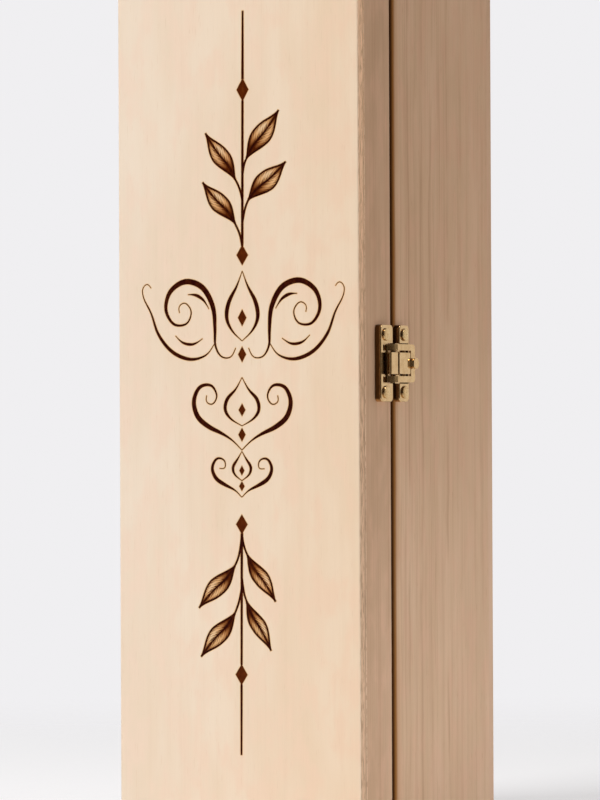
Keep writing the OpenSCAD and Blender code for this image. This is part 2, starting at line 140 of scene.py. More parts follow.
# Depths of the engraving in millimetres and how brown they are: surface, hatching, strokes, diamonds
LEVELS = (0.0, 0.09, 0.24, 0.28)
LEVEL_TONES = (0.0, 0.87, 0.99, 0.88)
HATCH = 1
STROKE = 2
DIAMOND = 3

# The brown halo beside strokes: its width, and how brown it is where it starts
HALO_REACH = 0.40
HALO_TONE = 0.34

# The clean surface is browned at most this much, and only this near to a stroke
HEAT_LIMIT = 0.9
HEAT_REACH = 6.0

# Steps along a leaf's edges, and the rows, and columns to each side, that it is divided into inside
LEAF_STEPS = 44
LEAF_ROWS = 31
LEAF_COLUMNS = 7

# Painted shade of the gap under the lid, on the box's rim: the colours of its face, of the edge behind it
# and of the wider band
RIM_FACE_SHADE = (0.062, 0.018, 0.003, 1.0)
RIM_EDGE_SHADE = (0.24, 0.086, 0.009, 1.0)
RIM_BAND_SHADE = (0.40, 0.20, 0.080, 1.0)

# The panel's edge: colours of its layers from front to back, of rough spots and of a pale line near its
# back
PANEL_LAYERS = (
    (0.00, (0.74, 0.54, 0.38, 1.0)),
    (0.08, (0.68, 0.46, 0.31, 1.0)),
    (0.20, (0.62, 0.40, 0.26, 1.0)),
    (0.50, (0.70, 0.45, 0.29, 1.0)),
    (0.74, (0.54, 0.34, 0.22, 1.0)),
    (0.84, (0.46, 0.28, 0.17, 1.0)),
    (1.00, (0.56, 0.35, 0.22, 1.0)),
)
ROUGH_SPOTS = (0.27, 0.165, 0.09, 1.0)
PALE_BACK_LINE = (0.98, 0.74, 0.52, 1.0)

# How heat tints the wood, from clean to charred
SCORCH_TINTS = (
    (0.00, (1.0, 1.0, 1.0, 1.0)),
    (0.15, (0.98, 0.88, 0.70, 1.0)),
    (0.35, (0.82, 0.56, 0.31, 1.0)),
    (0.60, (0.42, 0.20, 0.075, 1.0)),
    (0.84, (0.120, 0.027, 0.003, 1.0)),
    (1.00, (0.028, 0.002, 0.001, 1.0)),
)

# Colours of the brass
BRASS = (0.68, 0.455, 0.215, 1.0)
NAIL_BRASS = (0.70, 0.48, 0.22, 1.0)
WORN_BRASS = (0.58, 0.37, 0.16, 1.0)
# Near-black brown low on the brass walls and nail rims: tarnish, and painted shade and dark reflection
TARNISH_AND_SHADE = (0.068, 0.026, 0.003, 1.0)


class Graph:
    """A node tree with short calls to add and link its nodes."""

    def __init__(self, tree):
        self.tree = tree
        self.column = 0

    def add(self, kind, inputs=None, **settings):
        """A new shader node, with settings and with inputs that are set, or linked to an output"""
        made = self.tree.nodes.new("ShaderNode" + kind)
        made.location = (self.column * 180, 0)
        self.column += 1
        for name, value in settings.items():
            setattr(made, name, value)
        for name, value in (inputs or {}).items():
            self.put(value, made.inputs[name])
        return made

    def put(self, value, socket):
        if isinstance(value, bpy.types.NodeSocket):
            self.tree.links.new(value, socket)
        elif value is not None:
            socket.default_value = value

    def math(self, operation, a, b=None, c=None, clamp=False):
        made = self.add("Math", {0: a, 1: b, 2: c}, operation=operation, use_clamp=clamp)
        return made.outputs[0]

    def times(self, a, b):
        return self.math("MULTIPLY", a, b)

    def coordinates(self, space):
        return self.add("TexCoord").outputs[space]

    def split(self, vector):
        """The X, Y and Z outputs of a vector"""
        return self.add("SeparateXYZ", {0: vector}).outputs

    def place(self, axis):
        """The object's own x, y or z in millimetres"""
        return self.times(self.split(self.coordinates("Object"))[axis], PER_METRE)

    def facing(self, axis):
        """How far the surface faces along an axis, from -1 to 1"""
        return self.split(self.coordinates("Normal"))[axis]

    def stretch(self, vector, scale, shift=(0.0, 0.0, 0.0)):
        return self.add("Mapping", {"Vector": vector, "Scale": scale, "Location": shift}).outputs[0]

    def noise(self, vector, scale=1.0, detail=2.0, roughness=0.5, distortion=0.0):
        inputs = {"Vector": vector, "Scale": scale, "Detail": detail}
        inputs |= {"Roughness": roughness, "Distortion": distortion}
        return self.add("TexNoise", inputs).outputs["Fac"]

    def streaks(self, axes, across, along, shift=(0.0, 0.0, 0.0), **settings):
        """Noise drawn out along z, with its scales across z and along it"""
        return self.noise(self.stretch(axes, (across, across, along), shift), **settings)

    def remap(self, value, low, high, new_low=0.0, new_high=1.0, smooth=True):
        inputs = {"Value": value, "From Min": low, "From Max": high, "To Min": new_low, "To Max": new_high}
        kind = "SMOOTHSTEP" if smooth else "LINEAR"
        return self.add("MapRange", inputs, interpolation_type=kind).outputs["Result"]

    def moved(self, value, noise, span, reach):
        """A value moved to and fro, up to reach where the noise is span away from its middle"""
        shift = self.remap(noise, 0.5 - span, 0.5 + span, -reach, reach, smooth=False)
        return self.math("ADD", value, shift)

    def ramp(self, value, stops):
        made = self.add("ValToRGB", {"Fac": value})
        items = made.color_ramp.elements
        while len(items) < len(stops):
            items.new(1.0)
        for item, (place, tone) in zip(items, stops):
            item.position = place
            item.color = tone
        return made.outputs["Color"]

    def mix(self, factor, a, b, blend="MIX"):
        inputs = {"Factor": factor, "A": a, "B": b}
        return self.add("Mix", inputs, data_type="RGBA", blend_type=blend).outputs["Result"]

    def tint(self, tone, by):
        return self.mix(1.0, tone, by, blend="MULTIPLY")

    def fade(self, a, b, value, low, high, share=1.0):
        """Colour a, with up to a share of b in it as a value rises from low to high"""
        return self.mix(self.remap(value, low, high, 0.0, share), a, b)

    def bump(self, height, strength, distance, normal=None):
        inputs = {"Strength": strength, "Distance": distance, "Height": height, "Normal": normal}
        return self.add("Bump", inputs).outputs[0]

    def mix_shaders(self, factor, a, b):
        return self.add("MixShader", {0: factor, 1: a, 2: b}).outputs[0]


def grey(value):
    return (value, value, value, 1.0)


def new_graph(owner):
    """An empty node tree for a material or the world"""
    owner.use_nodes = True
    owner.node_tree.nodes.clear()
    return Graph(owner.node_tree)


def new_material(name):
    made = bpy.data.materials.new(name)
    return made, new_graph(made)


def finish_material(graph, shader):
    graph.add("OutputMaterial", {"Surface": shader})


def new_mesh(name, work):
    """A mesh of the shape, which isn't needed after that"""
    made = bpy.data.meshes.new(name)
    work.to_mesh(made)
    work.free()
    return made


def new_object(name, data):
    made = bpy.data.objects.new(name, data)
    bpy.context.scene.collection.objects.link(made)
    return made


def place_camera():
    """The photo's view: the camera's place, then which way it looks and how it is turned"""
    azimuth = math.radians(CAMERA_AZIMUTH)
    look = azimuth + math.radians(CAMERA_YAW)
    pitch = math.radians(CAMERA_PITCH)
    roll = math.radians(CAMERA_ROLL)
    forward = Vector((-math.sin(look) * math.cos(pitch), math.cos(look) * math.cos(pitch), math.sin(pitch)))
    level = forward.cross(Vector((0.0, 0.0, 1.0))).normalized()
    upright = level.cross(forward)
    right = level * math.cos(roll) + upright * math.sin(roll)
    up = upright * math.cos(roll) - level * math.sin(roll)
    data = bpy.data.cameras.new("camera")
    data.lens = CAMERA_LENS
    data.sensor_width = SENSOR
    data.clip_start = 0.05
    data.clip_end = 50.0
    camera = new_object("camera", data)
    place = Vector((math.sin(azimuth), -math.cos(azimuth), 0.0)) * CAMERA_DISTANCE
    place.z = CAMERA_HEIGHT
    axes = Matrix((right, up, -forward)).transposed()
    camera.matrix_world = Matrix.Translation(place) @ axes.to_4x4()
    bpy.context.scene.camera = camera


def make_world():
    """The backdrop for the camera, and for light and reflections a room pale behind and overhead"""
    world = bpy.data.worlds.new("studio")
    graph = new_graph(world)
    direction = graph.split(graph.coordinates("Generated"))
    behind = graph.math("MULTIPLY_ADD", direction["X"], 0.12, direction["Y"])
    overhead = graph.remap(direction["Z"], 0.45, 1.0, 0.0, 0.60)
    lit = graph.math("MAXIMUM", graph.remap(behind, 0.28, 0.62), overhead)
    room = graph.mix(lit, ROOM_DIM, ROOM_BRIGHT)
    mirrored = graph.fade(ROOM_DARK, ROOM_SIDES, direction["Y"], -0.50, -0.10)
    mirrored = graph.fade(mirrored, BACKDROP, direction["Y"], 0.58, 0.80)
    mirrored = graph.mix(overhead, mirrored, BACKDROP)
    rays = graph.add("LightPath").outputs
    shiny = graph.math("MAXIMUM", rays["Is Glossy Ray"], rays["Is Transmission Ray"])
    tone = graph.mix(shiny, room, mirrored)
    tone = graph.mix(rays["Is Camera Ray"], tone, BACKDROP)
    light = graph.add("Background", {"Color": tone})
    graph.add("OutputWorld", {"Surface": light.outputs[0]})
    bpy.context.scene.world = world


def soft_light(name, place, aim, size, power, tone=WHITE, spread=180.0, glint=False):
    """A light hidden from the camera, which either lights the scene or is a glint in reflections"""
    data = bpy.data.lights.new(name, "AREA")
    data.shape = "RECTANGLE"
    data.size = size[0]
    data.size_y = size[1]
    data.energy = power
    data.color = tone
    data.spread = math.radians(spread)
    light = new_object(name, data)
    light.location = place
    light.rotation_mode = "QUATERNION"
    light.rotation_quaternion = (Vector(aim) - Vector(place)).to_track_quat("-Z", "Y")
    light.visible_camera = False
    light.visible_glossy = glint
    light.visible_diffuse = not glint


def make_floor():
    """A pale floor that fades into the background away from the box"""
    work = bmesh.new()
    bmesh.ops.create_circle(work, cap_ends=True, segments=96, radius=FLOOR_RADIUS)
    mesh = new_mesh("floor", work)
    mesh.materials.append(make_paper())
    new_object("floor", mesh)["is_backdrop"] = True


def make_paper():
    """The floor's paper, which bounces light on the box and is clear towards its rim"""
    material, graph = new_material("floor_paper")
    place = graph.coordinates("Object")
    length = graph.add("VectorMath", {0: place}, operation="LENGTH")
    fade = graph.remap(length.outputs["Value"], FLOOR_FADE_START, FLOOR_FADE_END, 1.0, 0.0)
    cloud = graph.noise(place, scale=9.0, detail=3.0)
    tone = graph.fade(FLOOR_TONE, FLOOR_CLOUD, cloud, 0.3, 0.7, 0.05)
    rays = graph.add("LightPath").outputs
    seen = graph.math("MAXIMUM", rays["Is Camera Ray"], rays["Is Glossy Ray"])
    seen = graph.math("MAXIMUM", seen, rays["Is Transmission Ray"])
    bounce = graph.add("BsdfDiffuse", {"Color": FLOOR_BOUNCE})
    solid = graph.mix_shaders(seen, bounce.outputs[0], floor_as_seen(graph, tone))
    clear = graph.add("BsdfTransparent")
    finish_material(graph, graph.mix_shaders(fade, clear.outputs[0], solid))
    return material


def floor_as_seen(graph, tone):
    """The floor's colour in the camera, which meets the backdrop and keeps the box's shadow"""
    shadow = graph.add("BsdfDiffuse", {"Color": graph.mix(FLOOR_SHADOW_SHARE, grey(0.0), tone)})
    glow = graph.add("Emission", {"Color": FLOOR_GLOW})
    return graph.add("AddShader", {0: shadow.outputs[0], 1: glow.outputs[0]}).outputs[0]


def wood_axes(graph, grain, seed):
    """Object coordinates in millimetres with the grain along z, moved apart for each board"""
    place = graph.split(graph.coordinates("Object"))
    order = "XYZ" if grain == "Z" else "ZYX"
    join = graph.add("CombineXYZ", {i: place[axis] for i, axis in enumerate(order)})
    shift = [seed * step for step in BOARD_SHIFT]
    return graph.stretch(join.outputs[0], (PER_METRE, PER_METRE, PER_METRE), shift)


def growth_lines(graph, depth, axes, lines):
    """Darker lines along the grain at given places across a board, which come and go along it"""
    margin = 10.0
    low = lines[0][0] - margin
    high = lines[-1][0] + margin
    place = graph.moved(depth, graph.streaks(axes, 0.05, 0.010), 0.3, 2.2)
    place = graph.moved(place, graph.streaks(axes, 0.3, 0.05), 0.3, 0.5)
    stops = [(0.0, grey(0.0))]
    for y, before, after, strength in lines:
        stops.append(((y - before - low) / (high - low), grey(0.0)))
        stops.append(((y - low) / (high - low), grey(strength)))
        stops.append(((y + after - low) / (high - low), grey(0.0)))
    stops.append((1.0, grey(0.0)))
    drawn = graph.ramp(graph.remap(place, low, high, smooth=False), stops)
    broken = graph.streaks(axes, 0.11, 0.022, (2.0, 6.0, 4.0), detail=3.0)
    return graph.times(drawn, graph.remap(broken, 0.36, 0.62, 0.12, 1.0))


def fine_lines(graph, depth, axes, calm_y):
    """Thin close lines along the grain, which grow faint behind calm_y"""
    close = graph.streaks(axes, 1.15, 0.006, (8.0, 2.0, 5.0), detail=3.0, roughness=0.65)
    patch = graph.streaks(axes, 0.09, 0.010, (1.0, 4.0, 9.0))
    patch = graph.remap(patch, 0.38, 0.62, 0.25, 1.0)
    lines = graph.times(graph.remap(close, 0.50, 0.70), patch)
    return graph.times(lines, graph.remap(depth, calm_y - 5.0, calm_y + 5.0, 0.44, 0.07))


def make_wood(name, look, grain="Z", seed=0, lines=None, rim=False, layers=False, burnt=False):
    """A sanded board with streaks, growth lines, fibres and pores along its grain"""
    material, graph = new_material(name)
    axes = wood_axes(graph, grain, seed)
    depth = graph.place("Y")
    fibre = graph.streaks(axes, 3.6, 0.05, detail=3.0, roughness=0.6)
    pore = graph.streaks(axes, 2.3, 0.17, detail=1.0)
    pores = graph.remap(pore, 0.68, 0.77, 0.0, look["flecks"])
    tone = board_tone(graph, axes, look)
    if lines:
        tone = graph.mix(growth_lines(graph, depth, axes, lines), tone, look["line"])
    tone = graph.mix(fine_lines(graph, depth, axes, look["calm_y"]), tone, look["line"])
    if "warm_side" in look:
        tone = graph.tint(tone, side_drift(graph, look))
    shade = graph.remap(fibre, 0.25, 0.75, 1.0 - look["fibre"], 1.0 + look["fibre"], smooth=False)
    tone = graph.tint(tone, shade)
    tone = graph.mix(pores, tone, look["line"])
    tone = cut_ends(graph, axes, grain, tone, look)
    if rim:
        # Painted shade of the gap under the lid, on the box's rim
        tone = painted_rim_shade(graph, depth, axes, tone)
    if layers:
        tone = panel_layers(graph, depth, axes, tone)
    if burnt:
        tone = scorch(graph, tone, axes)
    height = graph.math("SUBTRACT", graph.times(fibre, 0.6), pores)
    inputs = {
        "Base Color": tone,
        "Roughness": graph.remap(fibre, 0.2, 0.8, 0.55, 0.72, smooth=False),
        "Specular IOR Level": 0.10,
        "Normal": graph.bump(height, 0.35, 0.06 * MM),
    }
    finish_material(graph, graph.add("BsdfPrincipled", inputs).outputs[0])
    return material


def side_drift(graph, look):
    """A slow change of colour across the face, from its left edge to its right one"""
    share = graph.remap(graph.place("X"), -48.0, 50.0, smooth=False)
    return graph.mix(share, look["cool_side"], look["warm_side"])


def board_tone(graph, axes, look):
    """The colour of a board with its clouds, blotches, streaks and paler bands"""
    cloud = graph.streaks(axes, 0.05, 0.011, detail=3.0, distortion=0.4)
    tone = graph.fade(look["pale"], look["deep"], cloud, 0.3, 0.7)
    blotch = graph.streaks(axes, 0.13, 0.06, (5.0, 1.0, 8.0), detail=3.0)
    tone = graph.fade(tone, look["blotch"], blotch, 0.42, 0.68, look["blotches"])
    streak = graph.streaks(axes, 0.42, 0.006, detail=4.0, roughness=0.62)
    tone = graph.fade(tone, look["line"], streak, 0.50, 0.72, look["streaks"])
    band = graph.streaks(axes, 0.16, 0.004, (7.0, 3.0, 1.0))
    return graph.fade(tone, look["pale"], band, 0.52, 0.75, look["bands"])


def cut_ends(graph, axes, grain, tone, look):
    """Darker speckled wood where the surface cuts across the grain"""
    cut = graph.remap(graph.math("ABSOLUTE", graph.facing(grain)), 0.6, 0.8)
    ring = graph.noise(graph.stretch(axes, (0.9, 0.25, 0.25)), detail=5.0, roughness=0.7)
    cut_tone = graph.fade(look["deep"], look["line"], ring, 0.35, 0.65)
    return graph.mix(graph.times(cut, 0.75), tone, cut_tone)


def painted_rim_shade(graph, depth, axes, tone):
    """Paints the shade of the gap under the lid on the outer edge of the box's rim, darkest on its face,
    and fades out behind it
    """
    behind = graph.math("SUBTRACT", depth, BOX_RIM_Y)
    place = graph.moved(behind, graph.streaks(axes, 0.3, 0.02), 0.25, 0.35)
    outer = rim_outside(graph, axes)
    patchy = graph.streaks(axes, 0.05, 0.012, (3.0, 8.0, 6.0))
    # A wider brown band of painted shade behind the rim's edge
    stain = graph.times(outer, graph.remap(place, 1.2, 6.5, 0.58, 0.0))
    stain = graph.times(stain, graph.remap(patchy, 0.36, 0.62, 0.45, 1.0))
    tone = graph.mix(stain, tone, RIM_BAND_SHADE)
    # Darker painted shade nearer the rim's edge
    edge_shade = graph.times(outer, graph.remap(place, 1.0, 3.2, 0.90, 0.0))
    tone = graph.mix(edge_shade, tone, RIM_EDGE_SHADE)
    # Near-black painted shade on the rim's face, inside the gap
    forward = graph.remap(graph.facing("Y"), -0.9, -0.35, 0.90, 0.0)
    face = graph.times(forward, graph.remap(behind, 0.6, 1.2, 1.0, 0.0))
    return graph.mix(graph.times(face, outer), tone, RIM_FACE_SHADE)


def rim_outside(graph, axes):
    """1 at the box's outer surfaces, less towards the inside of its rim"""
    from_side = graph.math("SUBTRACT", CASE_SIDE_X, graph.math("ABSOLUTE", graph.place("X")))
    rise = graph.math("ABSOLUTE", graph.math("SUBTRACT", graph.place("Z"), HALF_HEIGHT))
    from_end = graph.math("SUBTRACT", HALF_HEIGHT, rise)
    uneven = graph.streaks(axes, 0.35, 0.05, (4.0, 4.0, 7.0), detail=3.0)
    inward = graph.moved(graph.math("MINIMUM", from_side, from_end), uneven, 0.25, 1.0)
    return graph.remap(inward, 1.6, 6.5, 1.0, 0.12)


def panel_layers(graph, depth, axes, tone):
    """The glued layers that show on the edges of a panel, between its front and back faces"""
    edge = graph.remap(graph.math("ABSOLUTE", graph.facing("Y")), 0.5, 0.8, 1.0, 0.0)
    place = graph.moved(depth, graph.streaks(axes, 0.5, 0.05, detail=3.0), 0.3, 0.15)
    place = graph.remap(place, PANEL_FRONT_Y, PANEL_BACK_Y, smooth=False)
    rough = graph.streaks(axes, 1.3, 0.16, (3.0, 9.0, 5.0), detail=4.0, roughness=0.7)
    layers = graph.fade(graph.ramp(place, PANEL_LAYERS), ROUGH_SPOTS, rough, 0.42, 0.66, 0.72)
    # Painted light: the edge's layers grow paler towards the top of the panel
    layers = graph.tint(layers, graph.remap(graph.place("Z"), 120.0, 300.0, 1.0, 1.38))
    chips = graph.streaks(axes, 0.2, 0.32, (6.0, 1.0, 2.0), detail=3.0)
    # A pale line near the panel's back, broken by chips
    pale_line = graph.remap(place, 0.86, 0.90, smooth=False)
    pale_line = graph.times(pale_line, graph.remap(chips, 0.38, 0.52, 0.15, 0.95))
    return graph.mix(edge, tone, graph.mix(pale_line, layers, PALE_BACK_LINE))


def scorch(graph, tone, axes):
    """Tints the wood by the mesh's scorch value"""
    heat = graph.add("Attribute", attribute_name="scorch").outputs["Fac"]
    uneven = graph.remap(graph.streaks(axes, 0.9, 0.5, detail=3.0), 0.25, 0.75, 0.93, 1.05, smooth=False)
    heat = graph.math("MULTIPLY", heat, uneven, clamp=True)
    return graph.tint(tone, graph.ramp(heat, SCORCH_TINTS))


def make_brass(name, tone=BRASS, roughness=0.11, tarnish_and_shade_heights=(1.6, 3.1)):
    """Polished brass plate with faint wear, drawing lines, and tarnish with painted shade and dark
    reflection low on its walls
    """
    material, graph = new_material(name)
    axes = graph.stretch(graph.coordinates("Object"), (PER_METRE, PER_METRE, PER_METRE))
    stain = graph.noise(axes, scale=0.35, detail=4.0, roughness=0.6)
    colour = graph.fade(tone, WORN_BRASS, stain, 0.40, 0.72)
    # Tarnish and painted shade low on the walls
    colour = graph.mix(tarnish_and_shade(graph, stain, tarnish_and_shade_heights), colour, TARNISH_AND_SHADE)
    smear = graph.noise(axes, scale=1.1, detail=3.0)
    rough = graph.remap(smear, 0.3, 0.7, roughness * 0.75, roughness * 1.5)
    scratch = graph.times(graph.streaks(axes, 6.0, 0.35), 0.5)
    pitting = graph.times(graph.noise(axes, scale=5.0), 0.5)
    wave = graph.bump(graph.noise(axes, scale=0.16, detail=1.0), 0.5, 0.16 * MM)
    wear = graph.bump(graph.math("ADD", scratch, pitting), 0.12, 0.03 * MM, wave)
    inputs = {"Base Color": colour, "Metallic": 0.88, "Roughness": rough, "Normal": wear}
    finish_material(graph, graph.add("BsdfPrincipled", inputs).outputs[0])
    return material


def tarnish_and_shade(graph, stain, heights):
    """Where tarnish and painted shade darken the brass: 1 low on its walls, but not below, fading out
    between two heights over the wood
    """
    wall = graph.remap(graph.math("ABSOLUTE", graph.facing("X")), 0.25, 0.75, 1.0, 0.0)
    height = graph.math("SUBTRACT", graph.math("ABSOLUTE", graph.place("X")), CASE_SIDE_X)
    low = graph.remap(graph.moved(height, stain, 0.2, 0.25), *heights, 0.93, 0.0)
    upward = graph.remap(graph.facing("Z"), -0.70, -0.20)
    return graph.times(graph.times(wall, upward), low)


def show_piece(node, mesh, material):
    """Puts a mesh in the place of a CAD node"""
    piece = new_object(node + "_look", mesh)
    mesh.materials.clear()
    mesh.materials.append(material)
    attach(piece, BODY_OF[node])
    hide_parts(node)
    return piece


def clean_copy(node):
    """A CAD node's shape with whole faces in place of its triangles"""
    work = bmesh.new()
    work.from_mesh(frame["nodes"][node].data)
    bmesh.ops.remove_doubles(work, verts=work.verts, dist=WELD)
    bmesh.ops.dissolve_limit(work, angle_limit=math.radians(0.5), verts=work.verts, edges=work.edges)
    return work


def bevel(work, edges, width, segments):
    bmesh.ops.bevel(work, geom=edges, offset=width, offset_type="OFFSET", segments=segments, profile=0.5,
                    affect="EDGES", clamp_overlap=True)


def break_edges(work, width, segments):
    """Rounds the sharp edges of a shape"""
    limit = math.radians(28.0)
    sharp = []
    for edge in work.edges:
        if len(edge.link_faces) == 2 and edge.calc_face_angle() > limit:
            sharp.append(edge)
    bevel(work, sharp, width, segments)


def smooth_mesh(name, work, angle=40.0):
    """A mesh of the shape, smooth except at edges sharper than angle"""
    for face in work.faces:
        face.smooth = True
    mesh = new_mesh(name, work)
    mesh.set_sharp_from_angle(angle=math.radians(angle))
    return mesh


def show_rounded(node, work, material, width, segments):
    """Shows a shape in the place of a CAD node, with its sharp edges rounded by width"""
    break_edges(work, width, segments)
    piece = show_piece(node, smooth_mesh(node + "_look", work), material)
    weighted = piece.modifiers.new("weighted", "WEIGHTED_NORMAL")
    weighted.keep_sharp = True


def refined(node, material, width, segments=2, shape=None):
    """Shows a CAD node with rounded edges, after any change of its shape"""
    work = clean_copy(node)
    if shape:
        shape(work)
    show_rounded(node, work, material, width, segments)


def lean_neck(work):
    """Leans the neck of the lever's finger lip back over the loop"""
    margin = 0.1 * MM
    foot = max(vert.co.x for vert in work.verts) - LIP_HEIGHT
    lip = [vert for vert in work.verts if vert.co.x > foot + margin]
    lip_front = min(vert.co.y for vert in lip)
    for vert in lip:
        if vert.co.y < lip_front + NECK_THICKNESS:
            vert.co.y += NECK_LEAN


def pressed_plate(node, nails, material):
    """Shows a clasp plate with the rounded outer edges of pressed sheet"""
    work = clean_copy(node)
    low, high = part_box(nails)
    radius = (high[1] - low[1]) / 2
    nail_y = (low[1] + high[1]) / 2
    holes = [(nail_y, low[2] + radius), (nail_y, high[2] - radius)]
    top = high[0] - CLASP_NAIL["head"]
    plate_low, plate_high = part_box(node)
    middle = (nail_y, (plate_low[2] + plate_high[2]) / 2)
    outer = [edge for edge in work.edges if on_outer_rim(edge, top, middle, holes)]
    bevel(work, outer, PLATE_RIM, 7)
    show_rounded(node, work, material, PLATE_EDGE, 2)


def on_outer_rim(edge, top, middle, holes):
    """Whether an edge lies round the outside of a plate's raised face"""
    if len(edge.link_faces) != 2 or max(abs(vert.co.x - top) for vert in edge.verts) > 0.01 * MM:
        return False
    side = min(edge.link_faces, key=lambda face: abs(face.normal.x))
    if abs(side.normal.x) > 0.1 or max(abs(face.normal.x) for face in edge.link_faces) < 0.9:
        return False
    place = (edge.verts[0].co + edge.verts[1].co) / 2
    hole_reach = 1.5 * MM
    if min(math.dist((place.y, place.z), hole) for hole in holes) < hole_reach:
        return False
    return side.normal.y * (place.y - middle[0]) + side.normal.z * (place.z - middle[1]) > 0.0


def nail_profile(radius, head, shank, length, steps=8):
    """A nail's outline from the middle of its head to its foot, as distances from its axis and depths"""
    dimple = 0.28 * MM
    rise = 0.008 * MM
    crown = 0.87 * radius
    fall = 0.18 * head
    profile = [(0.0, 0.09 * MM), (dimple * 0.5, 0.07 * MM), (dimple, rise)]
    for i in range(1, steps + 1):
        r = dimple + (crown - dimple) * i / steps
        profile.append((r, rise + fall * (r / crown) ** 2))
    for i in range(1, steps + 1):
        turn = i / steps * math.pi / 2
        drop = rise + fall + (head - fall) * 0.92 * (1 - math.cos(turn))
        profile.append((crown + (radius - crown) * math.sin(turn), drop))
    under = radius - 0.05 * MM
    return profile + [(under, head), (shank, head), (shank, length), (0.0, length)]


def domed_nails(node, material, sizes, around=40):
    """Two nails along x with low domed heads, steep round rims and a small dimple in the middle"""
    low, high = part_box(node)
    radius = (high[1] - low[1]) / 2
    middle_y = (high[1] + low[1]) / 2
    outward = sizes["outward"]
    top_x = high[0] if outward > 0 else low[0]
    profile = nail_profile(radius, sizes["head"], sizes["shank"], high[0] - low[0])
    work = bmesh.new()
    for centre_z in (low[2] + radius, high[2] - radius):
        rings = []
        for r, drop in profile:
            x = top_x - outward * drop
            ring = []
            for k in range(around if r else 1):
                turn = 2 * math.pi * k / around
                place = (x, middle_y + r * math.cos(turn), centre_z + r * math.sin(turn))
                ring.append(work.verts.new(place))
            rings.append(ring)
        for a, b in zip(rings, rings[1:]):
            join_rings(work, a, b, around)
    bmesh.ops.recalc_face_normals(work, faces=work.faces)
    show_piece(node, smooth_mesh(node + "_look", work, 50.0), material)


def join_rings(work, a, b, around):
    """Faces between two rings, either of which may be a single point"""
    for k in range(around):
        j = (k + 1) % around
        if len(a) == 1:
            work.faces.new((a[0], b[k], b[j]))
        elif len(b) == 1:
            work.faces.new((a[j], a[k], b[0]))
        else:
            work.faces.new((a[j], a[k], b[k], b[j]))


def spline(points, step=0.5):
    """Points about step apart on a smooth curve through the given ones"""
    path = []
    last = len(points) - 1
    for i in range(last):
        p0 = points[max(i - 1, 0)]
        p1 = points[i]
        p2 = points[i + 1]
        p3 = points[min(i + 2, last)]
        count = max(2, int(math.dist(p1, p2) / step))
        for k in range(count):
            path.append(curve_point(p0, p1, p2, p3, k / count))
    path.append(points[-1])
    for _ in range(6):
        inner = [((a[0] + 2 * b[0] + c[0]) / 4, (a[1] + 2 * b[1] + c[1]) / 4)
                 for a, b, c in zip(path, path[1:], path[2:])]
        path = [path[0]] + inner + [path[-1]]
    return path


def curve_point(p0, p1, p2, p3, t):
    """A point of the Catmull-Rom curve between p1 and p2"""
    point = []
    for a, b, c, d in zip(p0, p1, p2, p3):
        point.append(0.5 * (2 * b + (c - a) * t + (2 * a - 5 * b + 4 * c - d) * t ** 2
                            + (3 * b - a - 3 * c + d) * t ** 3))
    return tuple(point)


def stroke(path, widths):
    """The outline of a stroke along path, given its width at each point"""
    left = []
    right = []
    last = len(path) - 1
    for i, (x, z) in enumerate(path):
        before = path[max(i - 1, 0)]
        after = path[min(i + 1, last)]
        reach = widths[i] / 2 / math.dist(before, after)
        side_x = (before[1] - after[1]) * reach
        side_z = (after[0] - before[0]) * reach
        left.append((x + side_x, z + side_z))
        right.append((x - side_x, z - side_z))
    return right + left[::-1]


def swelled(path, thin, thick, peak):
    """A pen stroke that is thin at both ends and thickest at peak, a share of its length"""
    lengths = [0.0]
    for a, b in zip(path, path[1:]):
        lengths.append(lengths[-1] + math.dist(a, b))
    widths = []
    for length in lengths:
        share = length / lengths[-1]
        turn = 0.5 * share / peak if share < peak else 0.5 + 0.5 * (share - peak) / (1 - peak)
        widths.append(thin + (thick - thin) * math.sin(math.pi * turn) ** 2)
    return stroke(path, widths)


def between(a, b, share):
    """The point at a share of the way from a to b"""
    return (a[0] + (b[0] - a[0]) * share, a[1] + (b[1] - a[1]) * share)


def straight(a, b, width_a, width_b, step=0.6):
    """A straight stroke that changes evenly from one width to the other"""
    count = max(2, int(math.dist(a, b) / step))
    shares = [i / count for i in range(count + 1)]
    widths = [width_a + (width_b - width_a) * share for share in shares]
    return stroke([between(a, b, share) for share in shares], widths)


def diamond(z, half_height, half_width):
    corners = [(0.0, z - half_height), (half_width, z), (0.0, z + half_height), (-half_width, z)]
    return finer(corners)


def finer(outline, step=0.45):
    """The same outline with no side longer than step"""
    made = []
    for a, b in zip(outline, outline[1:] + outline[:1]):
        count = max(1, math.ceil(math.dist(a, b) / step))
        made += [between(a, b, i / count) for i in range(count)]
    return made


